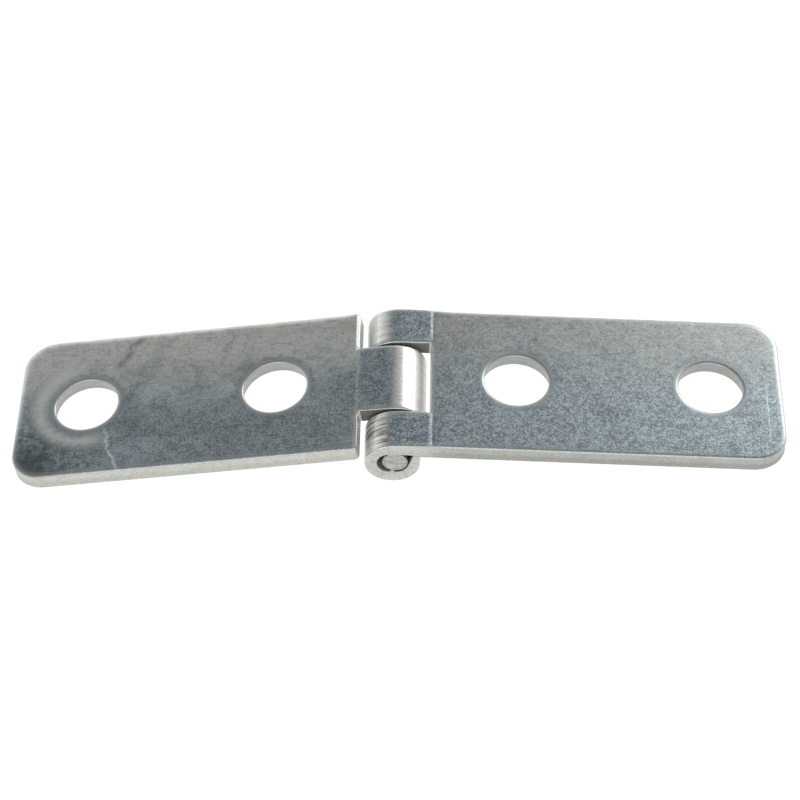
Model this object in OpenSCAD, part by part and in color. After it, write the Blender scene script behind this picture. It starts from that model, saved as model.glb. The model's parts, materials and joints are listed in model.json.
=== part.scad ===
// Flat strap hinge: two stamped leaves, each curled around one loose pin.
// The hinge lies with both leaf tips and the barrel on the plane z = 0. X runs along the leaves,
// Y along the pin, and Z up. All sizes are in millimetres.
//
// Each leaf is drawn in its own frame: the roll of its knuckles is centred on the origin, X runs
// along the leaf to its outer end, and Z stands on its flush face, which is tangent to the roll.

/* [Leaf] */
// Distance from the middle of the roll to the outer end of a leaf
leaf_length = 60; // [50:1:90]
// Width of the leaves, along the pin
leaf_width = 28; // [26:1:40]
// Thickness of the sheet
sheet = 2.5; // [2.4:0.1:2.8]
// Radius of the two corners at the outer end of a leaf
end_corner_r = 5.25; // [1:0.25:8]
// Radius of the corners where a shoulder meets the side of the leaf
shoulder_corner_r = 0.8; // [0.2:0.1:1.2]
// Distance from the middle of the roll to the shoulders and to the edge of the slot
shoulder_distance = 5.55; // [5.5:0.05:7]

/* [Fixing holes] */
// Diameter of the fixing holes
hole_d = 10; // [4:0.5:12]
// Distance between the two holes of a leaf
hole_pitch = 30; // [24:1:34]
// Distance from the outer end of a leaf to its nearer hole
hole_to_end = 11.2; // [8:0.1:12]

/* [Knuckles] */
// Outer radius of the rolled knuckles
knuckle_r = 4.25; // [4.1:0.05:4.4]
// Width of the slot between the two outer knuckles
slot_width = 14; // [10:0.5:16]
// Gap on each side of the middle knuckle
side_gap = 0.5; // [0.3:0.1:1]
// Extra length of the oval eye inside a roll, beyond a round eye
eye_play = 0.7; // [0.4:0.1:0.8]
// Height of the seam between the curled end and the underside of the leaf
seam = 0.05; // [0.05:0.05:0.2]

/* [Pin] */
// Diameter of the pin
pin_d = 4; // [3.8:0.1:4]
// Gap between the pin and the round end of the eye that it bears on
running_gap = 0.08; // [0.03:0.01:0.1]
// Distance of each pin end behind the outer face of its knuckle, with 0 for a flush pin
pin_recess = 0; // [0:0.1:0.6]
// Size of the chamfer on both pin ends
pin_chamfer = 0.25; // [0.1:0.05:0.4]

/* [Stakes] */
// Width of the metal that a stake pushes against the pin
stake_width = 0.8; // [0.4:0.1:1.2]
// Depth of a stake from the outer face of its knuckle
stake_depth = 1.6; // [1.1:0.1:2.5]
// Direction of a stake around the pin, from the leaf
stake_angle = -100; // [-150:5:-100]

/* [Hidden] */
$fn = 96;

pin_r = pin_d / 2;
hole_r = hole_d / 2;
eye_r = pin_r + running_gap;

// The pin bears on the leaf side of each eye, this far from the middle of the roll.
pin_offset = eye_play / 2 + 0.05;

// The tongues are pressed thinner than the sheet, down to the wall above the eye.
tongue_sheet = knuckle_r - eye_r;
tongue_width = slot_width - 2 * side_gap;
underside = knuckle_r - sheet;
tongue_underside = knuckle_r - tongue_sheet;
taper_start = 0.68 * knuckle_r;

// The curled end leaves the eye in a straight line, up to its inner lip.
curl_leave_angle = 20;
lip_x = taper_start;
lip_z = 0.8;
lip_round = 0.3;

// Slope of a leaf whose outer end and roll both touch z = 0.
rest_slope = atan(underside / leaf_length) + asin(knuckle_r / norm([leaf_length, underside]));
pin_height = knuckle_r - pin_offset * sin(rest_slope);

overlap = 1;
pin_bite = 0.02;

module end_corners() {
    corner_x = leaf_length - end_corner_r;
    corner_y = leaf_width / 2 - end_corner_r;
    for (side = [-1, 1])
        translate([corner_x, side * corner_y])
            circle(r = end_corner_r);
    translate([shoulder_distance + overlap, -leaf_width / 2])
        square([corner_x - shoulder_distance - overlap, leaf_width]);
    translate([shoulder_distance + overlap, -corner_y])
        square([leaf_length - shoulder_distance - overlap, 2 * corner_y]);
}

module shoulder_corners(radius) {
    corner_y = leaf_width / 2 - radius;
    for (side = [-1, 1])
        translate([shoulder_distance + radius, side * corner_y])
            circle(r = radius);
    translate([shoulder_distance + radius, -leaf_width / 2])
        square([2 * overlap, leaf_width]);
    translate([shoulder_distance, -corner_y])
        square([2 * overlap, 2 * corner_y]);
}

module square_shoulder() {
    translate([shoulder_distance, -leaf_width / 2])
        square([2 * overlap, leaf_width]);
}

module fixing_holes() {
    for (step = [0, 1])
        translate([leaf_length - hole_to_end - step * hole_pitch, 0])
            circle(r = hole_r);
}

// The flat part of a leaf. The children are the outline of its inner edge.
module plate() {
    translate([0, 0, underside])
        linear_extrude(height = sheet)
            difference() {
                union() {
                    end_corners();
                    children();
                }
                fixing_holes();
            }
}

// Section of the tongue that runs from the plate to the top of the roll.
module tongue_section() {
    polygon([
        [0, knuckle_r],
        [shoulder_distance + overlap, knuckle_r],
        [shoulder_distance + overlap, underside],
        [knuckle_r, underside],
        [taper_start, tongue_underside],
        [0, tongue_underside]
    ]);
}

// Oval eye: its round end at the pin, and the play away from the leaf.
module eye_section() {
    for (play = [0, eye_play])
        translate([pin_offset - play, 0])
            circle(r = eye_r);
    translate([pin_offset - eye_play, -eye_r])
        square([eye_play, 2 * eye_r]);
}

// Gap between the curled end and the underside of the tongue: open at the eye, a seam outside.
module mouth_section() {
    leave_x = pin_offset + eye_r * cos(curl_leave_angle);
    leave_z = -eye_r * sin(curl_leave_angle);
    taper_slope = (tongue_underside - underside) / (knuckle_r - taper_start);
    polygon([
        [pin_offset, 0],
        [leave_x, leave_z],
        [lip_x, lip_z],
        [lip_x + lip_round, tongue_underside - lip_round * taper_slope - seam],
        [knuckle_r, underside - seam],
        [knuckle_r + overlap, underside - seam],
        [knuckle_r + overlap, underside],
        [knuckle_r, underside],
        [taper_start, tongue_underside],
        [pin_offset, tongue_underside]
    ]);
}

module roll_section() {
    difference() {
        union() {
            circle(r = knuckle_r);
            square([knuckle_r, underside]);
        }
        mouth_section();
    }
}

module knuckle_section() {
    difference() {
        union() {
            roll_section();
            tongue_section();
        }
        eye_section();
    }
}

// A knuckle with its tongue, between two places along the pin.
module knuckle(from_y, to_y) {
    translate([0, to_y, 0])
        rotate([90, 0, 0])
            linear_extrude(height = to_y - from_y)
                knuckle_section();
}

// Metal of a knuckle's rim that is punched across the eye, against the pin.
module stake(from_y) {
    translate([pin_offset, from_y, 0])
        rotate([0, -stake_angle, 0])
            translate([pin_r - pin_bite, 0, -stake_width / 2])
                cube([eye_play / 2 + running_gap + overlap / 2, stake_depth, stake_width]);
}

module place_right() {
    translate([-pin_offset * cos(rest_slope), 0, knuckle_r])
        rotate([0, rest_slope, 0])
            children();
}

module place_left() {
    mirror([1, 0, 0])
        place_right()
            children();
}

module two_knuckle_leaf() {
    edge_y = leaf_width / 2;
    color([0.62, 0.64, 0.64])
        place_right() {
            plate()
                square_shoulder();
            knuckle(-edge_y, -slot_width / 2);
            knuckle(slot_width / 2, edge_y);
            stake(-edge_y);
            stake(edge_y - stake_depth);
        }
}

module one_knuckle_leaf() {
    color([0.6, 0.62, 0.62])
        place_left() {
            plate()
                shoulder_corners(shoulder_corner_r);
            knuckle(-tongue_width / 2, tongue_width / 2);
        }
}

module hinge_pin() {
    half = leaf_width / 2 - pin_recess;
    color([0.7, 0.7, 0.68])
        translate([0, 0, pin_height])
            rotate([90, 0, 0])
                rotate_extrude()
                    polygon([
                        [0, -half],
                        [pin_r - pin_chamfer, -half],
                        [pin_r, -half + pin_chamfer],
                        [pin_r, half - pin_chamfer],
                        [pin_r - pin_chamfer, half],
                        [0, half]
                    ]);
}

two_knuckle_leaf();
one_knuckle_leaf();
hinge_pin();
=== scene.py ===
import json
import math

import bpy
import numpy as np
from mathutils import Matrix, Vector
from mathutils.geometry import delaunay_2d_cdt


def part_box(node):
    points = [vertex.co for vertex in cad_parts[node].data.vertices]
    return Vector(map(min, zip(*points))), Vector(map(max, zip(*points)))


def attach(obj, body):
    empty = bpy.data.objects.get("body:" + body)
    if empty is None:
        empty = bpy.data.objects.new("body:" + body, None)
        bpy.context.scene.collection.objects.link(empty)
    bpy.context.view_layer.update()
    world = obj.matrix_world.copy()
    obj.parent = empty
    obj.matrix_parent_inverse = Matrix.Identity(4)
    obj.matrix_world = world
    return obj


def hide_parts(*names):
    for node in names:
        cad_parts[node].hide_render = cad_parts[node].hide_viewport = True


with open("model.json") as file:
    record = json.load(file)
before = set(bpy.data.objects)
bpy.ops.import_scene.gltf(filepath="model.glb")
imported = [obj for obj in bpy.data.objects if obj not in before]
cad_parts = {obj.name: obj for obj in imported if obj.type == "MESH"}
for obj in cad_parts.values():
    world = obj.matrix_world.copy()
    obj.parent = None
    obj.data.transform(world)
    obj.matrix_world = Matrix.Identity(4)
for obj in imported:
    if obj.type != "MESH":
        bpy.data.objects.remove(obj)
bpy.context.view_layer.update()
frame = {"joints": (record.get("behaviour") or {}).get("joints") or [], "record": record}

MM = 0.001

# ---------------------------------------------------------------- sizes of the hinge, in millimetres

# The roll of a knuckle, the oval eye in it, and the pin at the leaf side of the eye.
KNUCKLE_R = 4.25
EYE_R = 2.08
EYE_PLAY = 0.7
PIN_OFFSET = 0.4
PIN_R = 2.0

# Distance from the roll's centre to the inner edge of a leaf and to its pressed line, and its corners.
SHOULDER = 5.55
DIE_LINE = 5.85
SHOULDER_CORNER = 0.8
END_CORNER = 5.25

# Half the width of the slot, and of the tongue that stands in it.
SLOT_HALF = 7.0
TONGUE_HALF = 6.5

# The mouth of a roll: its seam, where the tongue begins to thicken, and the lip of the curled end.
SEAM = 0.05
TAPER_START = 0.68 * KNUCKLE_R
LIP = (TAPER_START, 0.8)
LIP_ROUND = 0.3
LIP_RISE_LENGTH = 1.4
CURL_LEAVE = math.radians(20)
CURL_SOFTNESS = 0.2
ROLLED_TURN = 1.5 * math.pi * KNUCKLE_R

# The stakes: their direction from the pin, their spread around it in radians, how far they reach
# along it, how far they push the eye inwards, and how deeply they dent the rim.
STAKE_ANGLE = math.radians(-100)
STAKE_SPREAD = 0.15
STAKE_REACH = 1.5
STAKE_PUSH = 0.13
STAKE_DENT = 0.45

# The ends of the pin: their dome, their soft rim, and the slope and direction of the cut.
PIN_DOME = 0.05
PIN_RIM = 0.22
PIN_TILT = 0.04
PIN_TILT_TURN = 0.7

# Rounded edge that the punch leaves: its width on the face and its depth in the sheet. Along the front
# of a leaf it is smaller, by the factor FRONT_EDGE.
PLATE_EDGE = (0.95, 0.48)
KNUCKLE_EDGE = (0.45, 0.22)
HOLE_EDGE = (0.5, 0.26)
FRONT_EDGE = 0.65

# The burr around the underside, and the width of the slope behind it.
BURR = 0.04
BURR_SLOPE = 0.12

# How much larger the radius of a hole is at the underside, how far the outer walls are drawn in at the
# top, and the distance from the edge at which both have faded out.
HOLE_TAPER = 0.42
FLARE = 0.1
TAPER_SPREAD = 1.5

# Depth and width of the pressed line beside the shoulders, and height of the sheet's slight waves.
DIE_LINE_DEPTH = 0.07
DIE_LINE_WIDTH = 0.24
WAVE_HEIGHT = 0.012

# Rows of points across a rounded edge and down a wall.
EDGE_STEPS = 7
WALL_ROWS = 8

# Spacing of the points along the outlines.
SIDE_STEP = 0.6
ROLL_SIDE_STEP = 0.35
END_STEP = 0.5
CORNER_STEP = 0.15
HOLE_STEP = 0.42

# Spacing of the points inside them: on the plate, around and along the roll, and along the pressed line.
PLATE_START = 0.9
PLATE_STEP = 0.95
ROLL_STEP = 0.33
ROLL_ROW_STEP = 0.75
LINE_STEP = 0.5
LINE_ROWS = (-0.6, -0.36, -0.18, 0.0, 0.18, 0.36, 0.6)

# Edges sharper than these angles are drawn as edges, on the leaves and on the pin.
LEAF_CREASE = math.radians(38)
PIN_CREASE = math.radians(40)

# ---------------------------------------------------------------- places, read from the frame

MOUNTS = {m["name"]: m for m in frame["record"]["mounts"]}
JOINT = frame["joints"][0]
PIN_AXIS = Vector(JOINT["pos_m"]) / MM
FACE = MOUNTS["two_knuckle_leaf_flush_face"]
INNER_HOLE = MOUNTS["two_knuckle_leaf_inner_hole"]
OUTER_HOLE = MOUNTS["two_knuckle_leaf_outer_hole"]

NORMAL = Vector(FACE["axis"]).normalized()
ALONG = Vector((NORMAL.z, 0, -NORMAL.x))
ROLL_CENTRE = PIN_AXIS - PIN_OFFSET * ALONG
SHEET = INNER_HOLE["dims"]["length_mm"]
HOLE_R = INNER_HOLE["dims"]["r_mm"]
HOLES = [(Vector(m["pos_m"]) / MM - ROLL_CENTRE).dot(ALONG) for m in (INNER_HOLE, OUTER_HOLE)]
LEAF_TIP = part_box("two_knuckle_leaf")[1] / MM
HALF_WIDTH = LEAF_TIP.y
LEAF_LENGTH = (LEAF_TIP.x - ROLL_CENTRE.x - KNUCKLE_R * NORMAL.x) / ALONG.x
UNDERSIDE = KNUCKLE_R - SHEET
UNDERSIDE_RISE = SHEET - (KNUCKLE_R - EYE_R)
BLANK_END = ROLLED_TURN + UNDERSIDE - SEAM
PIN_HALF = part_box("hinge_pin")[1].y / MM

# Direction of the stakes from the roll's centre. STAKE_ANGLE is their direction from the pin.
STAKE_TURN = math.atan2(PIN_R * math.sin(STAKE_ANGLE), PIN_OFFSET + PIN_R * math.cos(STAKE_ANGLE))


# ---------------------------------------------------------------- curves and fields

def smooth(t):
    t = np.clip(t, 0.0, 1.0)
    return t * t * (3.0 - 2.0 * t)


def arc(centre, radius, start, end, step):
    count = max(3, int(abs(end - start) * radius / step) + 1)
    angles = np.linspace(start, end, count)
    return [(centre[0] + radius * math.cos(a), centre[1] + radius * math.sin(a)) for a in angles]


def fill_in(points, step, fine_step):
    """The closed outline with extra points on its straight stretches, closer together on the roll."""
    out = []
    for here, there in zip(points, points[1:] + points[:1]):
        gap = math.dist(here, there)
        spacing = fine_step if min(here[0], there[0]) < 0 else step
        count = max(1, round(gap / spacing))
        for k in range(count):
            t = k / count
            out.append((here[0] + t * (there[0] - here[0]), here[1] + t * (there[1] - here[1])))
    return np.array(out)


def leaf_end(step):
    """The outer end of a leaf with its two round corners, from the front side to the back side."""
    x = LEAF_LENGTH - END_CORNER
    y = HALF_WIDTH - END_CORNER
    front = arc((x, -y), END_CORNER, -math.pi / 2, 0, step)
    back = arc((x, y), END_CORNER, 0, math.pi / 2, step)
    return front + back


def two_knuckle_outline():
    slot = [(-BLANK_END, SLOT_HALF), (SHOULDER, SLOT_HALF), (SHOULDER, -SLOT_HALF), (-BLANK_END, -SLOT_HALF)]
    sides = [(-BLANK_END, -HALF_WIDTH)] + leaf_end(END_STEP) + [(-BLANK_END, HALF_WIDTH)]
    return fill_in(sides + slot, SIDE_STEP, ROLL_SIDE_STEP)


def one_knuckle_outline():
    x = SHOULDER + SHOULDER_CORNER
    y = HALF_WIDTH - SHOULDER_CORNER
    front = [(-BLANK_END, -TONGUE_HALF), (SHOULDER, -TONGUE_HALF)]
    front += arc((x, -y), SHOULDER_CORNER, math.pi, 1.5 * math.pi, CORNER_STEP)
    back = arc((x, y), SHOULDER_CORNER, 0.5 * math.pi, math.pi, CORNER_STEP)
    back += [(SHOULDER, TONGUE_HALF), (-BLANK_END, TONGUE_HALF)]
    return fill_in(front + leaf_end(END_STEP) + back, SIDE_STEP, ROLL_SIDE_STEP)


def hole_outline(centre):
    return np.array(arc((centre, 0), HOLE_R, 0, 2 * math.pi, HOLE_STEP)[:-1])


def inward(loop, is_hole):
    """Unit normals of a counter-clockwise loop that point into the sheet."""
    chord = np.roll(loop, -1, axis=0) - np.roll(loop, 1, axis=0)
    chord /= np.linalg.norm(chord, axis=1, keepdims=True)
    left = np.stack([-chord[:, 1], chord[:, 0]], axis=1)
    return -left if is_hole else left


def distance(points, loop):
    """Distance from each point to the loop."""
    edges = np.roll(loop, -1, axis=0) - loop
    best = np.full(len(points), np.inf)
    for a, e in zip(loop, edges):
        rel = points - a
        t = np.clip(rel @ e / (e @ e), 0.0, 1.0)
        best = np.minimum(best, np.linalg.norm(rel - t[:, None] * e, axis=1))
    return best


def rim_gap(points, loops):
    """Distance from each point to the nearest of the loops."""
    return np.min([distance(points, loop) for loop in loops], axis=0)


def within(points, loop):
    """Which points lie inside the loop."""
    inside = np.zeros(len(points), bool)
    for a, b in zip(loop, np.roll(loop, -1, axis=0)):
        crosses = (a[1] > points[:, 1]) != (b[1] > points[:, 1])
        if a[1] != b[1]:
            x = a[0] + (points[:, 1] - a[1]) * (b[0] - a[0]) / (b[1] - a[1])
            inside ^= crosses & (points[:, 0] < x)
    return inside


def edge_size(place, is_hole, roundness):
    """Width and depth of the rounded edge at places of the sheet. It is rounder along the back."""
    u, y = place[:, 0], place[:, 1]
    if is_hole:
        return np.full_like(u, HOLE_EDGE[0]), np.full_like(u, HOLE_EDGE[1])
    on_plate = smooth((u - 4.5) / 5.0)
    behind = smooth((y + 12.0) / 22.0)
    uneven = 1.0 + 0.04 * np.sin(u * 0.9 + 1.0) + 0.02 * np.sin(u * 2.3)
    size = uneven * (FRONT_EDGE + (roundness - FRONT_EDGE) * behind)
    width = (KNUCKLE_EDGE[0] + (PLATE_EDGE[0] - KNUCKLE_EDGE[0]) * on_plate) * size
    depth = (KNUCKLE_EDGE[1] + (PLATE_EDGE[1] - KNUCKLE_EDGE[1]) * on_plate) * size
    return width, depth


def eye_reach(angle):
    """Distance from the roll's centre to the wall of the oval eye, for an angle from the leaf side."""
    c = np.cos(angle)
    s = np.sin(angle)
    centre = np.where(c > 0, PIN_OFFSET, PIN_OFFSET - EYE_PLAY)
    along = c * centre
    reach = along + np.sqrt(EYE_R ** 2 - centre ** 2 + along ** 2)
    flat = EYE_R / np.maximum(np.abs(s), 1e-6)
    on_flat = (flat * c < PIN_OFFSET) & (flat * c > PIN_OFFSET - EYE_PLAY)
    return np.where(on_flat, flat, reach)


def lip_line(height):
    """How far along the leaf the curled end's inner face is, at a height above the roll's centre."""
    leave_x = PIN_OFFSET + EYE_R * math.cos(CURL_LEAVE)
    leave_z = -EYE_R * math.sin(CURL_LEAVE)
    x = leave_x + (height - leave_z) * (LIP[0] - leave_x) / (LIP[1] - leave_z)
    past = LIP[0] + (height - LIP[1]) * LIP_ROUND / (UNDERSIDE - SEAM - LIP[1])
    return np.where(height > LIP[1], past, x)


def sheet_depth(u):
    """Thickness of the sheet at a distance along it. Negative distances are on the roll."""
    taper = np.clip((u - TAPER_START) / (KNUCKLE_R - TAPER_START), 0.0, 1.0)
    tongue = (KNUCKLE_R - EYE_R) * (1 - taper) + SHEET * taper
    turned = np.clip(-u, 0.0, ROLLED_TURN) / KNUCKLE_R
    polar = math.pi / 2 + turned
    reach = eye_reach(polar)
    near_lip = polar > 2 * math.pi - 0.8 * CURL_LEAVE
    height = reach * np.sin(polar)
    reach = np.where(near_lip, np.maximum(reach, lip_line(height)), reach)
    straight = KNUCKLE_R - lip_line(np.clip(-u - ROLLED_TURN, 0.0, None))
    rolled = KNUCKLE_R - reach
    return np.where(u >= 0, tongue, np.where(-u > ROLLED_TURN, straight, rolled))


def curl(u, depth):
    """A point of the flat sheet, curled around the pin: (along the leaf, above the roll's centre)."""
    turned = np.clip(-u, 0.0, ROLLED_TURN) / KNUCKLE_R
    past = np.clip(-u - ROLLED_TURN, 0.0, None)
    radius = KNUCKLE_R - depth
    under_taper = np.clip(depth / (KNUCKLE_R - TAPER_START), 0.0, 1.0)
    lip_rise = (UNDERSIDE_RISE * under_taper) * smooth(past / LIP_RISE_LENGTH)
    s = np.where(u >= 0, u, -radius * np.sin(turned))
    h = np.where(u >= 0, radius, radius * np.cos(turned) + past + lip_rise)
    return s, h


# ---------------------------------------------------------------- leaves


def across(margin, step):
    """Places from one side of a leaf to the other, a margin away from its sides."""
    half = round(HALF_WIDTH, 3) - margin
    return np.arange(-half, half + 0.1, step)


def fill_points():
    """Places between the outlines: rows across the plate, closer on the roll and along the pressed line."""
    along = np.arange(PLATE_START, LEAF_LENGTH, PLATE_STEP)
    plate = [(u, y) for u in along for y in across(0.7, PLATE_STEP)]
    around = np.arange(0.25 - BLANK_END, PLATE_START - 0.1, ROLL_STEP)
    roll = [(u, y) for u in around for y in across(0.5, ROLL_ROW_STEP)]
    line = [(DIE_LINE + shift, y) for shift in LINE_ROWS for y in across(0.5, LINE_STEP)]
    return np.array(plate + roll + line)


def edge_points(loops, roundness):
    """Places on the rounded edges, in rows that follow each outline."""
    rows = []
    for number, loop in enumerate(loops):
        width, _ = edge_size(loop, number > 0, roundness)
        normal = inward(loop, number > 0)
        for k in range(1, EDGE_STEPS + 1):
            reach = width * (1 - math.cos(k / EDGE_STEPS * math.pi / 2))
            row = loop + normal * reach[:, None]
            rows.append(row[rim_gap(row, loops) > 0.97 * reach])
    return np.concatenate(rows)


def blank(outline, roundness):
    """The flat sheet: (places, triangles, outlines, index of each outline's points)."""
    loops = [outline] + [hole_outline(centre) for centre in HOLES]
    places = []
    constraints = []
    for loop in loops:
        first = len(places)
        places += [tuple(p) for p in loop]
        constraints += [(first + k, first + (k + 1) % len(loop)) for k in range(len(loop))]
    inner = fill_points()
    width, _ = edge_size(inner, False, roundness)
    inner = inner[rim_gap(inner, loops) > width + 0.12]
    extra = np.concatenate([edge_points(loops, roundness), inner])
    extra = extra[material(extra, loops)]
    places += [tuple(p) for p in extra]
    result = delaunay_2d_cdt([Vector(p) for p in places], constraints, [], 0, 1e-5)
    flat = np.array([tuple(v) for v in result[0]])
    triangles = np.array([list(f) for f in result[2]])
    triangles = triangles[material(flat[triangles].mean(axis=1), loops)]
    new_index = {old: new for new, olds in enumerate(result[3]) for old in olds}
    starts = np.cumsum([0] + [len(loop) for loop in loops])
    borders = [np.array([new_index[k] for k in range(a, b)]) for a, b in zip(starts, starts[1:])]
    return flat, triangles, loops, borders


def material(points, loops):
    """Which points are in the sheet: inside the outline and outside its holes."""
    inside = within(points, loops[0])
    for hole in loops[1:]:
        inside &= ~within(points, hole)
    return inside


def face_depth(flat, loops, roundness):
    """How far the outer face lies below the flush plane, or inside the true circle of the roll."""
    u, y = flat[:, 0], flat[:, 1]
    edge = np.zeros(len(flat))
    for number, loop in enumerate(loops):
        width, drop = edge_size(flat, number > 0, roundness)
        share = np.clip(1 - distance(flat, loop) / width, 0.0, 1.0)
        edge = np.maximum(edge, drop * (1 - np.sqrt(1 - share ** 2)))
    die_line = DIE_LINE_DEPTH * np.exp(-(((u - DIE_LINE) / DIE_LINE_WIDTH) ** 2))
    wave = WAVE_HEIGHT * np.sin(u * 0.55 + 0.6) * np.cos(y * 0.4)
    return edge + die_line + wave * smooth(u / 8) + soft_start(u)


def soft_start(u):
    """The curl begins gently, so the roll is a little flatter around its top than a true circle."""
    return CURL_SOFTNESS * smooth((1.4 - u) / 2.6) * (1 - smooth((-u - 1.5) / 5.0))


def punch_marks(u, y, depth, total):
    """The stakes: the rim of an outer knuckle is dented, and its eye is pushed in against the pin."""
    polar = math.pi / 2 + np.clip(-u, 0.0, ROLLED_TURN) / KNUCKLE_R
    side = np.exp(-(((polar - (2 * math.pi + STAKE_TURN)) / STAKE_SPREAD) ** 2))
    near_end = smooth((np.abs(y) - (HALF_WIDTH - STAKE_REACH)) / 1.2)
    at_rim = smooth((np.abs(y) - (HALF_WIDTH - 1.0)) / 0.9)
    inner = smooth((depth / total - 0.3) / 0.6)
    pushed = depth + STAKE_PUSH * side * near_end * inner
    dented = y - np.sign(y) * STAKE_DENT * side * at_rim * inner
    on_roll = u < 0
    return np.where(on_roll, dented, y), np.where(on_roll, pushed, depth)


def stand_up(u, y, depth, total, side, staked):
    """Places of the sheet in the hinge's frame, in metres."""
    if staked:
        y, depth = punch_marks(u, y, depth, total)
    s, h = curl(u, depth)
    x = ROLL_CENTRE.x + s * ALONG.x + h * NORMAL.x
    z = ROLL_CENTRE.z + s * ALONG.z + h * NORMAL.z
    return np.stack([side * x, y, z], axis=1) * MM


def drawn_in(flat, outline):
    """Places of the flush face, with the outer walls drawn in at the top."""
    fade = np.clip(1 - distance(flat, outline) / TAPER_SPREAD, 0.0, 1.0)
    flare = FLARE * fade * smooth((flat[:, 0] - 3.0) / 3.0)
    rim = np.argmin(((flat[:, None, :] - outline[None, :, :]) ** 2).sum(axis=2), axis=1)
    return flat + inward(outline, False)[rim] * flare[:, None]


def broken_out(flat):
    """Places of the underside, with the holes widened as a punch leaves them."""
    under = flat.copy()
    for hole in HOLES:
        outward = flat - np.array([hole, 0.0])
        reach = np.linalg.norm(outward, axis=1, keepdims=True)
        under += outward / reach * HOLE_TAPER * np.clip(1 - (reach - HOLE_R) / TAPER_SPREAD, 0.0, 1.0)
    return under


def table_rows(place, gap, down, total):
    """One row for each point: u, y, depth, distance from the rim, share of the way down, thickness."""
    size = len(place)
    return np.column_stack([place, np.broadcast_to(gap, size), np.full(size, down), total])


def wall_rows(top, bottom, total):
    """The rows of points down a wall, between its top and bottom border."""
    rows = []
    for k in range(1, WALL_ROWS):
        t = k / WALL_ROWS
        place = top[:, :2] * (1 - t * t) + bottom[:, :2] * t * t
        depth = top[:, 2] * (1 - t) + bottom[:, 2] * t
        rows.append(table_rows(np.column_stack([place, depth]), 0.0, t, total))
    return rows


def wall_faces(rows, is_hole):
    """Quads between the rows of a wall, where each row lists its points' indices."""
    faces = []
    for upper, lower in zip(rows, rows[1:]):
        for k in range(len(upper)):
            j = (k + 1) % len(upper)
            quad = [upper[k], lower[k], lower[j], upper[j]]
            faces.append([int(v) for v in (reversed(quad) if is_hole else quad)])
    return faces


def leaf(name, outline, side, roundness, staked):
    """A stamped leaf with its curled knuckles, as one closed mesh."""
    flat, triangles, loops, borders = blank(outline, roundness)
    count = len(flat)
    gap = rim_gap(flat, loops)
    total = sheet_depth(flat[:, 0])
    top = np.column_stack([drawn_in(flat, outline), face_depth(flat, loops, roundness)])
    bottom = np.column_stack([broken_out(flat), total - BURR * (1 - np.exp(-gap / BURR_SLOPE))])

    parts = [table_rows(top, gap, 0.0, total), table_rows(bottom, gap, 1.0, total)]
    faces = [list(f) for f in triangles] + [[int(k) + count for k in reversed(f)] for f in triangles]
    flat_faces = len(faces)
    next_index = 2 * count
    for number, border in enumerate(borders):
        rows = [border]
        for row in wall_rows(top[border], bottom[border], total[border]):
            parts.append(row)
            rows.append(np.arange(next_index, next_index + len(row)))
            next_index += len(row)
        rows.append(border + count)
        faces += wall_faces(rows, number > 0)
    table = np.concatenate(parts)
    u, y, depth = table[:, 0], table[:, 1], table[:, 2]
    points = stand_up(u, y, depth, table[:, 5], side, staked)
    if side < 0:
        faces = [f[::-1] for f in faces]

    piece = add_piece(name, points.tolist(), faces, LEAF_CREASE)
    kinds = [0] * flat_faces + [1] * (len(faces) - flat_faces)
    piece.data.polygons.foreach_set("material_index", kinds)
    keep(piece.data, "sheet_place", "FLOAT_VECTOR", np.stack([u, y, depth], axis=1))
    keep(piece.data, "rim_distance", "FLOAT", table[:, 3])
    keep(piece.data, "wall_depth", "FLOAT", table[:, 4])
    return piece


def add_piece(name, points, faces, crease):
    """A piece of the hinge from its points and faces, shaded smooth up to the crease angle."""
    mesh = bpy.data.meshes.new(name)
    mesh.from_pydata(points, [], faces)
    mesh.polygons.foreach_set("use_smooth", [True] * len(faces))
    mesh.update()
    mesh.validate()
    mesh.set_sharp_from_angle(angle=crease)
    piece = bpy.data.objects.new(name, mesh)
    bpy.context.scene.collection.objects.link(piece)
    return piece


def keep(mesh, name, kind, values):
    """Stores a value at each vertex, for the materials."""
    attribute = mesh.attributes.new(name, kind, "POINT")
    field = "vector" if kind == "FLOAT_VECTOR" else "value"
    attribute.data.foreach_set(field, np.asarray(values, np.float32).ravel())


# ---------------------------------------------------------------- pin

def pin_profile():
    """Radius and distance from the middle of the pin, from one end's centre to the middle of its side."""
    half = PIN_HALF - PIN_DOME
    rim_r = PIN_R - PIN_RIM
    rim_y = half - PIN_RIM
    face = [(r, half + PIN_DOME * (1 - (r / PIN_R) ** 2)) for r in np.linspace(0.0, rim_r, 10)]
    turns = np.linspace(0.15, math.pi / 2, 7)
    bend = [(rim_r + PIN_RIM * math.sin(a), rim_y + PIN_RIM * math.cos(a)) for a in turns]
    shank = [(PIN_R, y) for y in np.linspace(half - 0.6, 0.0, 12)]
    return face + bend + shank


def pin_tilt(r, y, angle):
    """How far a point near an end is drawn in, because the wire was cut out of square."""
    near_end = abs(y) > PIN_HALF - 1.0
    return PIN_TILT * (PIN_R - r * math.cos(angle - PIN_TILT_TURN)) if near_end else 0.0


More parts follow.
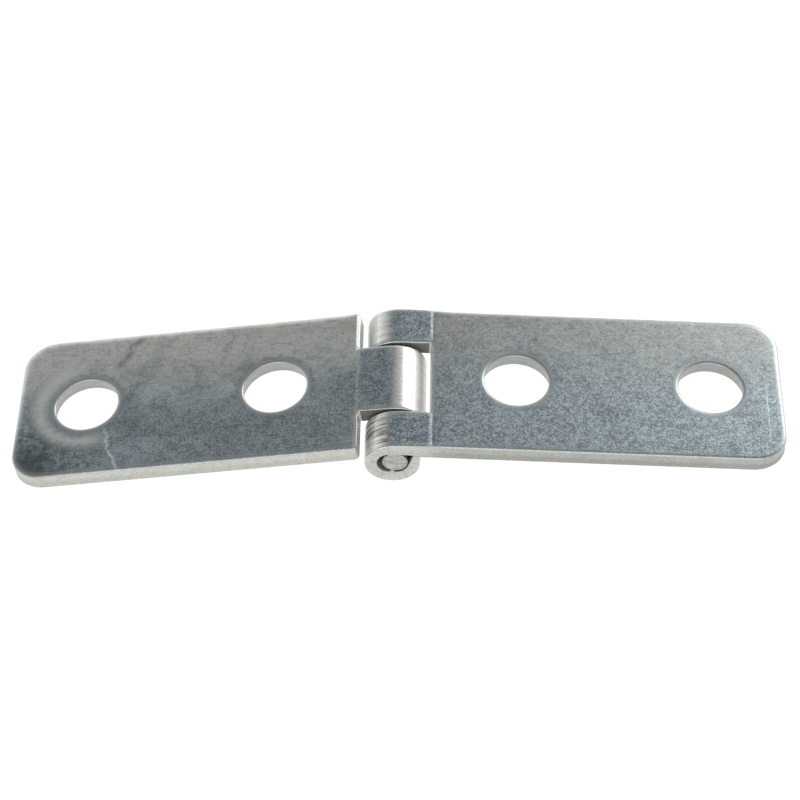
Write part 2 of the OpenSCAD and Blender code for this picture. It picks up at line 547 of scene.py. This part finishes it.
def hinge_pin(name):
    """The wire pin: two sheared ends with soft rims on a plain shank."""
    half = pin_profile()
    profile = half + [(r, -y) for r, y in reversed(half[:-1])]
    turns = 96
    points = []
    for r, y in profile:
        for k in range(turns if r > 0 else 1):
            a = 2 * math.pi * k / turns
            along = y - math.copysign(pin_tilt(r, y, a), y)
            place = PIN_AXIS + Vector((r * math.cos(a), along, r * math.sin(a)))
            points.append(tuple(place * MM))
    ring_start = [0]
    for r, _ in profile[:-1]:
        ring_start.append(ring_start[-1] + (turns if r > 0 else 1))
    faces = []
    for (r0, _), (r1, _), a, b in zip(profile, profile[1:], ring_start, ring_start[1:]):
        for k in range(turns):
            j = (k + 1) % turns
            if r0 == 0:
                faces.append([a, b + j, b + k])
            elif r1 == 0:
                faces.append([a + k, a + j, b])
            else:
                faces.append([a + k, a + j, b + j, b + k])
    return add_piece(name, points, faces, PIN_CREASE)


# ---------------------------------------------------------------- materials


class Graph:
    """A small helper that builds a material's nodes."""

    def __init__(self, name):
        self.material = bpy.data.materials.new(name)
        self.material.use_nodes = True
        self.tree = self.material.node_tree
        self.shader = self.tree.nodes["Principled BSDF"]

    def node(self, kind, inputs=None, **settings):
        made = self.tree.nodes.new(kind)
        for key, value in settings.items():
            setattr(made, key, value)
        for key, value in (inputs or {}).items():
            self.set(made.inputs[key], value)
        return made

    def set(self, socket, value):
        if isinstance(value, bpy.types.NodeSocket):
            self.tree.links.new(value, socket)
        else:
            socket.default_value = value

    def attribute(self, name, output):
        return self.node("ShaderNodeAttribute", attribute_name=name).outputs[output]

    def math(self, operation, a, b=0.0, clamp=False):
        made = self.node("ShaderNodeMath", {0: a, 1: b}, operation=operation, use_clamp=clamp)
        return made.outputs[0]

    def noise(self, place, scale, detail=2.0, roughness=0.5, distortion=0.0):
        inputs = {"Vector": place, "Scale": scale, "Detail": detail}
        inputs.update({"Roughness": roughness, "Distortion": distortion})
        return self.node("ShaderNodeTexNoise", inputs).outputs["Fac"]

    def stretch(self, place, scale, shift=(0, 0, 0)):
        made = self.node("ShaderNodeMapping", {"Vector": place, "Scale": scale, "Location": shift})
        return made.outputs[0]

    def range(self, value, low, high, to_low=0.0, to_high=1.0, shape="SMOOTHSTEP"):
        inputs = {"Value": value, "From Min": low, "From Max": high}
        inputs.update({"To Min": to_low, "To Max": to_high})
        return self.node("ShaderNodeMapRange", inputs, interpolation_type=shape).outputs[0]

    def blend(self, share, a, b, mode="MIX"):
        made = self.node("ShaderNodeMix", data_type="RGBA", blend_type=mode)
        self.set(made.inputs["Factor"], share)
        self.set(made.inputs[6], a)
        self.set(made.inputs[7], b)
        return made.outputs[2]

    def bump(self, height, distance, strength=1.0, normal=None):
        inputs = {"Height": height, "Distance": distance, "Strength": strength}
        made = self.node("ShaderNodeBump", inputs)
        if normal is not None:
            self.set(made.inputs["Normal"], normal)
        return made.outputs[0]

    def split(self, vector):
        return self.node("ShaderNodeSeparateXYZ", {0: vector}).outputs

    def from_point(self, place, x, y):
        """Distance in the face from a point of the sheet."""
        parts = self.split(place)
        dx = self.math("SUBTRACT", parts[0], x)
        dy = self.math("SUBTRACT", parts[1], y)
        squares = self.math("ADD", self.math("MULTIPLY", dx, dx), self.math("MULTIPLY", dy, dy))
        return self.math("SQRT", squares)

    def metal(self, tone, rough, normal):
        """Finishes the material as bare metal and returns it."""
        self.set(self.shader.inputs["Base Color"], tone)
        self.shader.inputs["Metallic"].default_value = 1.0
        self.set(self.shader.inputs["Roughness"], rough)
        self.set(self.shader.inputs["Normal"], normal)
        return self.material


def toned(value, tint):
    """A linear colour: a grey value times a tint."""
    return tuple(value * c for c in tint) + (1.0,)


BLUE = (0.85, 1.0, 1.06)
DEEP_BLUE = (0.80, 0.97, 1.10)
OLIVE = (0.97, 1.0, 0.94)
TAN = (1.06, 1.0, 0.90)
PALE = (1.0, 1.0, 0.97)
WARM = (1.0, 1.0, 0.90)


def roll_share(g, place, curl_from):
    """How far a place belongs to the roll, where the curling tool left the zinc bright."""
    return g.range(g.split(place)[0], curl_from, curl_from - 2.0)


def lit_back_share(g, place, cloud):
    """How far a place belongs to the back of the plate, which is painted paler as if lit from behind, with a
    cloudy border.
    """
    parts = g.split(place)
    plate = g.range(parts[0], SHOULDER - 0.2, SHOULDER + 0.6)
    border = g.math("ADD", parts[1], g.math("MULTIPLY", cloud, 14.0))
    return g.math("MULTIPLY", g.range(border, 1.0, 17.0), plate)


def zones(g, place, rolled, behind, cloud, front, back):
    """The broad tones of a leaf: a darker front and a back painted paler as if lit from behind, clouds,
    darker tongues and bright rolls.
    """
    parts = g.split(place)
    # Painted light: the back of the plate is paler than the front, as if lit from behind, and the dark
    # clouds are weighted to the front.
    tone = g.blend(behind, toned(front, BLUE), toned(back, WARM))
    tone = g.blend(g.range(cloud, 0.52, 0.66, 0.0, 0.35), tone, toned(back * 1.05, BLUE))
    deep = g.math("MULTIPLY", g.range(cloud, 0.47, 0.36, 0.0, 0.5), g.range(behind, 0.0, 1.0, 1.0, 0.35))
    tone = g.blend(deep, tone, toned(front * 0.7, DEEP_BLUE))
    tongue = g.math("MULTIPLY", g.range(parts[0], 6.0, 4.0), g.range(rolled, 1.0, 0.0))
    tongue = g.math("MULTIPLY", tongue, g.range(parts[1], -8.0, 8.0, 0.85, 0.25))
    tone = g.blend(tongue, tone, toned(front * 0.68, DEEP_BLUE))
    return g.blend(g.math("MULTIPLY", rolled, 0.95), tone, toned(0.92, PALE))


def pressed_line_highlight(g, place, tone, width):
    """A painted highlight along the pressed line beside the shoulders, where its slope would catch the
    light.
    """
    off = g.math("ABSOLUTE", g.math("SUBTRACT", g.split(place)[0], DIE_LINE))
    return g.blend(g.range(off, width, 0.05, 0.0, 0.6), tone, toned(0.75, OLIVE))


def speckles(g, tone, strength, front, wisps, mottle, grain):
    """Dark and light speckles in three sizes, from wisps to grain."""
    layers = (
        # pattern, where a speckle begins, where it is full, its strength, its tone against the front's
        (wisps, 0.5, 0.62, 0.6, 1.5, BLUE),
        (wisps, 0.5, 0.38, 0.6, 0.62, DEEP_BLUE),
        (mottle, 0.47, 0.66, 0.8, 1.45, BLUE),
        (mottle, 0.52, 0.36, 0.7, 0.55, DEEP_BLUE),
        (grain, 0.57, 0.36, 0.75, 0.52, DEEP_BLUE),
        (grain, 0.46, 0.66, 0.9, 1.75, BLUE),
    )
    for pattern, begin, full, most, value, tint in layers:
        share = g.math("MULTIPLY", g.range(pattern, begin, full, 0.0, most), strength)
        tone = g.blend(share, tone, toned(front * value, tint))
    return tone


def plating(g, place, rolled, seed, front, back, grit, line_highlight_width):
    """Tone of dull zinc: blue-grey and speckled in front and on the knuckles, brushed behind and painted
    paler there as if lit from behind.
    """
    shifted = g.stretch(place, (1, 1, 1), (seed, seed * 0.7, seed * 0.3))
    grain = g.noise(shifted, 4.0, 1.5, 0.6)
    mottle = g.noise(shifted, 1.1, 2.5, 0.55, 0.4)
    wisps = g.noise(shifted, 0.42, 5.0, 0.72, 1.2)
    cloud = g.noise(shifted, 0.13, 4.0, 0.6, 0.8)
    behind = lit_back_share(g, place, cloud)
    tone = zones(g, place, rolled, behind, cloud, front, back)
    # Painted highlight along the pressed line.
    tone = pressed_line_highlight(g, place, tone, line_highlight_width)

    strength = g.range(behind, 0.0, 1.0, grit, grit * 0.55)
    strength = g.math("MULTIPLY", strength, g.range(rolled, 0.0, 1.0, 1.0, 0.06))
    strength = g.math("MULTIPLY", strength, g.range(g.split(place)[0], 3.0, 5.0, 1.0, 0.8))
    tone = speckles(g, tone, strength, front, wisps, mottle, grain)
    brush = g.noise(g.stretch(place, (0.25, 5.5, 1.0), (0, seed, 0)), 1.0, 2.0, 0.6)
    lines = g.range(brush, 0.36, 0.56, 0.22, 0.0)
    return g.blend(lines, tone, toned(front * 0.5, OLIVE)), grain, mottle


def from_holes(g, place):
    """Distance in the face from the middle of the nearer hole."""
    return g.math("MINIMUM", *[g.from_point(place, x, 0.0) for x in HOLES])


def hole_marks(g, place, tone, mottle):
    """A thin bluish stain around both holes, where the punch pressed."""
    away = g.math("SUBTRACT", from_holes(g, place), HOLE_R)
    stain = g.range(g.math("ADD", away, g.math("MULTIPLY", mottle, 2.4)), 1.2, 3.1, 0.75, 0.0)
    return g.blend(stain, tone, toned(0.25, DEEP_BLUE))


def washer_rub(g, place, tone, grain, mottle):
    """Where a washer rubbed beside the outer hole: a pale broken band on one side of it."""
    hole = HOLES[1]
    away = g.math("SUBTRACT", g.from_point(place, hole, 0.0), HOLE_R)
    parts = g.split(place)
    lean = g.math("SUBTRACT", g.math("SUBTRACT", parts[0], hole), g.math("MULTIPLY", parts[1], 0.35))
    sector = g.range(g.math("ADD", lean, g.math("MULTIPLY", mottle, 4.0)), -1.0, 4.0)
    band = g.math("ABSOLUTE", g.math("SUBTRACT", away, 2.5))
    band = g.math("ADD", band, g.math("MULTIPLY", mottle, 3.2))
    band = g.math("ADD", band, g.math("MULTIPLY", grain, 1.4))
    rub = g.math("MULTIPLY", g.range(band, 2.0, 4.2, 0.95, 0.0), sector)
    return g.blend(rub, tone, toned(0.68, PALE))


def patch(g, place, tone, mottle, centre, radius, strength, value):
    """A darker patch with a ragged edge."""
    ragged = g.math("MULTIPLY", mottle, radius * 1.6)
    away = g.math("ADD", g.from_point(place, centre[0], centre[1]), ragged)
    return g.blend(g.range(away, radius * 0.7, radius * 2.0, strength, 0.0), tone, value)


def scratch(g, place, tone, start, slant, bend, length, width, wander, value):
    """A broken line across the sheet from its start, towards the front if its length is negative."""
    parts = g.split(place)
    run = g.math("SUBTRACT", parts[1], start[1])
    middle = g.math("ADD", g.math("MULTIPLY", run, slant), start[0])
    middle = g.math("ADD", middle, g.math("MULTIPLY", g.math("MULTIPLY", run, run), bend))
    waver = g.noise(g.stretch(place, (0.0, 0.5, 0.0), (0, start[0], 0)), 1.0, 2.0, 0.5)
    middle = g.math("ADD", middle, g.math("MULTIPLY", g.math("SUBTRACT", waver, 0.5), wander))
    line = g.range(g.math("ABSOLUTE", g.math("SUBTRACT", parts[0], middle)), width, 0.0)
    ahead = g.math("MULTIPLY", run, 1.0 if length > 0 else -1.0)
    last = g.range(ahead, abs(length) + 0.5, abs(length) - 0.8)
    ends = g.math("MULTIPLY", g.range(ahead, -0.5, 0.8), last)
    streaks = g.stretch(place, (2.2, 0.7, 1.0), (start[1], 0, 0))
    broken = g.range(g.noise(streaks, 1.0, 3.0, 0.65), 0.36, 0.56, 0.15, 0.8)
    return g.blend(g.math("MULTIPLY", g.math("MULTIPLY", line, broken), ends), tone, value)


def handling_marks(g, place, tone, grain, mottle):
    """Rubs, darker patches and scratches on the leaf with the middle knuckle."""
    hole = HOLES[1]
    corner = (LEAF_LENGTH - 3.0, 2.5 - HALF_WIDTH)
    # Darker towards the outer front corner, with a ragged edge.
    tone = patch(g, place, tone, mottle, corner, 9.0, 0.95, toned(0.12, BLUE))
    tone = patch(g, place, tone, mottle, (hole - 8.0, -5.0), 3.5, 0.5, toned(0.20, DEEP_BLUE))
    tone = washer_rub(g, place, tone, grain, mottle)
    tone = scratch(
        g, place, tone, start=(hole - 3.6, -5.5), slant=0.0, bend=-0.038, length=-8.5,
        width=0.5, wander=1.5, value=toned(0.85, PALE)
    )
    return scratch(
        g, place, tone, start=(hole - 4.6, 6.8), slant=-0.52, bend=0.0, length=6.5,
        width=1.4, wander=1.5, value=toned(0.26, OLIVE)
    )


def thin_scratch(g, place, tone, grain, mottle):
    """One faint straight scratch near the outer end of the leaf with the outer knuckles."""
    return scratch(
        g, place, tone, start=(LEAF_LENGTH - 2.6, -10.0), slant=0.0, bend=0.0, length=11.0,
        width=0.2, wander=0.3, value=toned(0.75, BLUE)
    )


def zinc(name, seed, front, back, grit, curl_from, line_highlight_width, marks, streak_share, drag_depth):
    """Zinc plating on the faces of a leaf, with the marks of its making and handling."""
    g = Graph(name)
    place = g.attribute("sheet_place", "Vector")
    parts = g.split(place)
    rolled = roll_share(g, place, curl_from)
    plain, grain, mottle = plating(g, place, rolled, seed, front, back, grit, line_highlight_width)
    plain = hole_marks(g, place, plain, mottle)
    flush_side = g.range(parts[2], SHEET * 0.45, SHEET * 0.3)
    tone = g.blend(flush_side, plain, marks(g, place, plain, grain, mottle))
    worn = g.range(g.math("ADD", g.attribute("rim_distance", "Fac"), mottle), 0.5, 1.7, 0.5, 0.0)
    tone = g.blend(worn, tone, toned(0.66, OLIVE))

    # Drag streaks around the roll, strongest on the front knuckle.
    drawn = g.noise(g.stretch(place, (0.10, 3.0, 1.0), (seed, seed, 0)), 1.0, 3.0, 0.7)
    scored = g.math("MULTIPLY", rolled, g.range(parts[1], -SLOT_HALF, -SLOT_HALF - 1.0, 0.35, 1.0))
    streak = g.math("MULTIPLY", g.range(drawn, 0.52, 0.40), scored)
    tone = g.blend(g.math("MULTIPLY", streak, streak_share), tone, toned(0.16, OLIVE))

    # The inner side of the sheet where it shows at the open ends of the eye.
    at_end = g.range(g.math("ABSOLUTE", parts[1]), HALF_WIDTH - 1.0, HALF_WIDTH - 0.6)
    mouth = g.math("MULTIPLY", g.range(parts[2], 1.0, 1.3), at_end)
    tone = g.blend(mouth, tone, toned(0.6, OLIVE))

    rough = g.range(g.math("ADD", grain, mottle), 0.7, 1.3, 0.31, 0.37)
    rough = g.math("MULTIPLY", rough, g.range(rolled, 0.0, 1.0, 1.0, 0.75))
    rough = g.math("ADD", rough, g.range(parts[0], -2.9, -3.7, 0.0, 0.35))
    on_flat = g.range(rolled, 0.0, 1.0, 1.0, 0.04)
    pits = g.bump(g.math("MULTIPLY", grain, on_flat), 0.004 * MM, 0.6)
    dents = g.bump(g.math("MULTIPLY", mottle, on_flat), 0.012 * MM, 0.6, pits)
    return g.metal(tone, rough, g.bump(g.math("MULTIPLY", drawn, scored), drag_depth * MM, 0.8, dents))


def wall_marks_and_painted_light(g, place, tone):
    """The darker walls of the holes; painted shade on the walls beside the slot, where the leaves close in;
    and painted light on the slot's end wall, made pale to look lit.
    """
    parts = g.split(place)
    off_middle = g.math("ABSOLUTE", parts[1])
    bore = g.range(from_holes(g, place), HOLE_R + 0.9, HOLE_R + 0.6, 0.0, 0.9)
    tone = g.blend(bore, tone, toned(0.36, OLIVE))
    # Painted shade: the walls beside the slot, in the narrow gap between the leaves, are darkened.
    beside_slot = g.range(off_middle, SLOT_HALF + 0.6, SLOT_HALF + 0.2)
    slot = g.math("MULTIPLY", beside_slot, g.range(parts[0], SHOULDER + 0.65, SHOULDER + 0.25))
    tone = g.blend(slot, tone, toned(0.3, TAN))
    # Painted light: the slot's end wall is made pale so it looks lit in the gap.
    lit_slot_end = g.math("MULTIPLY", slot, g.range(parts[0], SHOULDER - 0.35, SHOULDER - 0.15))
    return g.blend(lit_slot_end, tone, toned(0.9, PALE)), slot


def sheared_edge(name, seed, smooth_tone, torn_tone, knuckle_tone):
    """Punched walls: a smooth upper band, then a rougher and slightly tan fracture."""
    g = Graph(name)
    place = g.attribute("sheet_place", "Vector")
    parts = g.split(place)
    drag = g.noise(g.stretch(place, (3.5, 3.5, 0.35), (seed, 0, 0)), 1.0, 3.0, 0.6)
    crumbs = g.noise(g.stretch(place, (1, 1, 1), (0, seed, 0)), 2.6, 4.0, 0.7)
    patches = g.noise(g.stretch(place, (1, 1, 1), (seed, 0, seed)), 0.35, 3.0, 0.6)
    ragged = g.math("MULTIPLY", g.math("SUBTRACT", drag, 0.5), 0.5)
    torn = g.range(g.math("ADD", g.attribute("wall_depth", "Fac"), ragged), 0.34, 0.62)
    tone = g.blend(torn, toned(smooth_tone, OLIVE), toned(torn_tone, OLIVE))
    tone = g.blend(g.range(patches, 0.46, 0.62, 0.0, 0.7), tone, toned(torn_tone, TAN))
    tone = g.blend(g.range(parts[0], 9.0, 3.0, 0.0, 0.8), tone, toned(knuckle_tone, OLIVE))
    # Painted shade on the walls beside the slot and painted light on the slot's end wall.
    tone, slot = wall_marks_and_painted_light(g, place, tone)
    tone = g.blend(g.range(crumbs, 0.5, 0.68, 0.0, 0.55), tone, toned(torn_tone * 0.62, TAN))
    tone = g.blend(g.range(crumbs, 0.46, 0.34, 0.0, 0.3), tone, toned(smooth_tone * 1.2, OLIVE))
    end_face = g.range(g.math("ABSOLUTE", parts[1]), HALF_WIDTH - 0.4, HALF_WIDTH - 0.1)
    on_knuckle = g.math("MULTIPLY", g.range(parts[0], 3.0, 1.0), end_face)
    specks = g.math("MULTIPLY", on_knuckle, g.range(drag, 0.56, 0.7, 0.0, 0.8))
    tone = g.blend(specks, tone, toned(0.2, TAN))
    rough = g.range(torn, 0.0, 1.0, 0.36, 0.5, "LINEAR")
    rough = g.math("ADD", rough, g.math("MULTIPLY", slot, 0.35))
    return g.metal(tone, rough, g.bump(crumbs, 0.04 * MM, 0.8, g.bump(drag, 0.03 * MM, 0.7)))


def pin_steel(name):
    """Plated wire, with the drag marks of the shears on its ends."""
    g = Graph(name)
    place = g.node("ShaderNodeTexCoord").outputs["Object"]
    drag = g.noise(g.stretch(place, (900, 900, 3800)), 1.0, 3.0, 0.6)
    grain = g.noise(place, 3500.0, 3.0, 0.6)
    tone = g.blend(g.range(drag, 0.4, 0.65), toned(0.38, OLIVE), toned(0.55, OLIVE))
    tone = g.blend(g.range(grain, 0.5, 0.66, 0.0, 0.6), tone, toned(0.25, OLIVE))
    return g.metal(tone, g.range(grain, 0.3, 0.7, 0.35, 0.5), g.bump(drag, 0.03 * MM, 0.6))


# ---------------------------------------------------------------- studio


def floor():
    """A plain white floor that glows evenly."""
    size = 4.0
    mesh = bpy.data.meshes.new("floor")
    corners = [(-size, -size, 0), (size, -size, 0), (size, size, 0), (-size, size, 0)]
    mesh.from_pydata(corners, [], [(0, 1, 2, 3)])
    made = bpy.data.objects.new("floor", mesh)
    made.location.z = -0.02 * MM
    bpy.context.scene.collection.objects.link(made)
    white = bpy.data.materials.new("floor_white")
    white.use_nodes = True
    tree = white.node_tree
    tree.nodes.clear()
    glow = tree.nodes.new("ShaderNodeEmission")
    glow.inputs["Color"].default_value = (1.0, 1.0, 1.0, 1.0)
    glow.inputs["Strength"].default_value = 1.05
    out = tree.nodes.new("ShaderNodeOutputMaterial")
    tree.links.new(glow.outputs[0], out.inputs["Surface"])
    mesh.materials.append(white)


def softbox(name, azimuth, elevation, distance, width, height, power, colour=(1, 1, 1)):
    """An area light aimed at the hinge. Azimuth turns from +X towards +Y."""
    light = bpy.data.lights.new(name, "AREA")
    light.shape = "RECTANGLE"
    light.size = width
    light.size_y = height
    light.energy = power
    light.color = colour
    made = bpy.data.objects.new(name, light)
    a = math.radians(azimuth)
    e = math.radians(elevation)
    direction = Vector((math.cos(e) * math.cos(a), math.cos(e) * math.sin(a), math.sin(e)))
    made.location = direction * distance
    made.rotation_euler = direction.to_track_quat("Z", "Y").to_euler()
    bpy.context.scene.collection.objects.link(made)


# Brightness of the tent by height, from the horizon to straight overhead.
SKY_STOPS = ((0.0, 1.0), (0.33, 0.80), (0.6, 0.42), (0.76, 0.28), (1.0, 0.26))


def sky(world):
    """A white tent around the hinge: bright at the horizon and dimmer overhead."""
    world.use_nodes = True
    tree = world.node_tree
    background = tree.nodes["Background"]
    place = tree.nodes.new("ShaderNodeTexCoord")
    parts = tree.nodes.new("ShaderNodeSeparateXYZ")
    ramp = tree.nodes.new("ShaderNodeValToRGB")
    tree.links.new(place.outputs["Generated"], parts.inputs[0])
    tree.links.new(parts.outputs["Z"], ramp.inputs[0])
    tree.links.new(ramp.outputs[0], background.inputs["Color"])
    ramp.color_ramp.interpolation = "B_SPLINE"
    while len(ramp.color_ramp.elements) < len(SKY_STOPS):
        ramp.color_ramp.elements.new(0.5)
    for stop, (height, value) in zip(ramp.color_ramp.elements, SKY_STOPS):
        stop.position = height
        stop.color = (value, value, value, 1.0)
    background.inputs["Strength"].default_value = 1.2


def lighting():
    """A white tent, a softbox behind on the right and a larger one in front."""
    world = bpy.data.worlds.new("studio")
    sky(world)
    bpy.context.scene.world = world
    softbox("back_right_softbox", azimuth=52, elevation=24, distance=0.8, width=0.44, height=0.62, power=1.9)
    softbox("front_softbox", azimuth=-90, elevation=45, distance=1.0, width=1.3, height=0.8, power=3.0)


def camera():
    """A camera in front and above, a little to the right, slightly rolled and aimed near the barrel."""
    data = bpy.data.cameras.new("camera")
    data.sensor_width = 36.0
    data.lens = 118.25
    data.clip_start = 0.01
    made = bpy.data.objects.new("camera", data)
    elevation = math.radians(49.53)
    azimuth = math.radians(4.91)
    roll = math.radians(-5.26)
    turn = Matrix.Rotation(azimuth, 4, "Z") @ Matrix.Rotation(math.pi / 2 - elevation, 4, "X")
    turn = turn @ Matrix.Rotation(roll, 4, "Z")
    right = turn.col[0].to_3d()
    up = turn.col[1].to_3d()
    back = turn.col[2].to_3d()
    distance_m = 0.40787
    aim = Vector((-0.398, 0.0, KNUCKLE_R)) * MM
    shift_right = 0.967
    shift_down = 1.057
    eye = aim + back * distance_m + right * shift_right * MM - up * shift_down * MM
    made.matrix_world = Matrix.Translation(eye) @ turn
    bpy.context.scene.collection.objects.link(made)
    bpy.context.scene.camera = made


# ---------------------------------------------------------------- assembly


def build():
    """The three visible pieces, each on its body and in place of its CAD solid."""
    # The back tones of the zinc are painted paler than the front ones, as if lit from behind.
    zinc_a = zinc(
        "zinc_two_knuckle", seed=3.0, front=0.385, back=0.45, grit=0.95, curl_from=0.2, line_highlight_width=0.22,
        marks=thin_scratch, streak_share=1.0, drag_depth=0.07
    )
    zinc_b = zinc(
        "zinc_one_knuckle", seed=41.0, front=0.355, back=0.76, grit=0.8, curl_from=1.3, line_highlight_width=0.45,
        marks=handling_marks, streak_share=0.15, drag_depth=0.01
    )
    edge_a = sheared_edge(
        "sheared_two_knuckle", seed=5.0, smooth_tone=0.46, torn_tone=0.38, knuckle_tone=0.62
    )
    edge_b = sheared_edge(
        "sheared_one_knuckle", seed=23.0, smooth_tone=0.60, torn_tone=0.53, knuckle_tone=0.58
    )

    right = leaf("stamped_two_knuckle_leaf", two_knuckle_outline(), side=1, roundness=1.1, staked=True)
    right.data.materials.append(zinc_a)
    right.data.materials.append(edge_a)
    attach(right, "two_knuckle_leaf_body")
    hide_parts("two_knuckle_leaf")

    left = leaf("stamped_one_knuckle_leaf", one_knuckle_outline(), side=-1, roundness=1.6, staked=False)
    left.data.materials.append(zinc_b)
    left.data.materials.append(edge_b)
    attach(left, "one_knuckle_leaf_body")
    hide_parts("one_knuckle_leaf")

    pin = hinge_pin("staked_hinge_pin")
    pin.data.materials.append(pin_steel("pin_steel"))
    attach(pin, "two_knuckle_leaf_body")
    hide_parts("hinge_pin")


bpy.context.scene.view_settings.view_transform = "Standard"
camera()
lighting()
floor()
build()
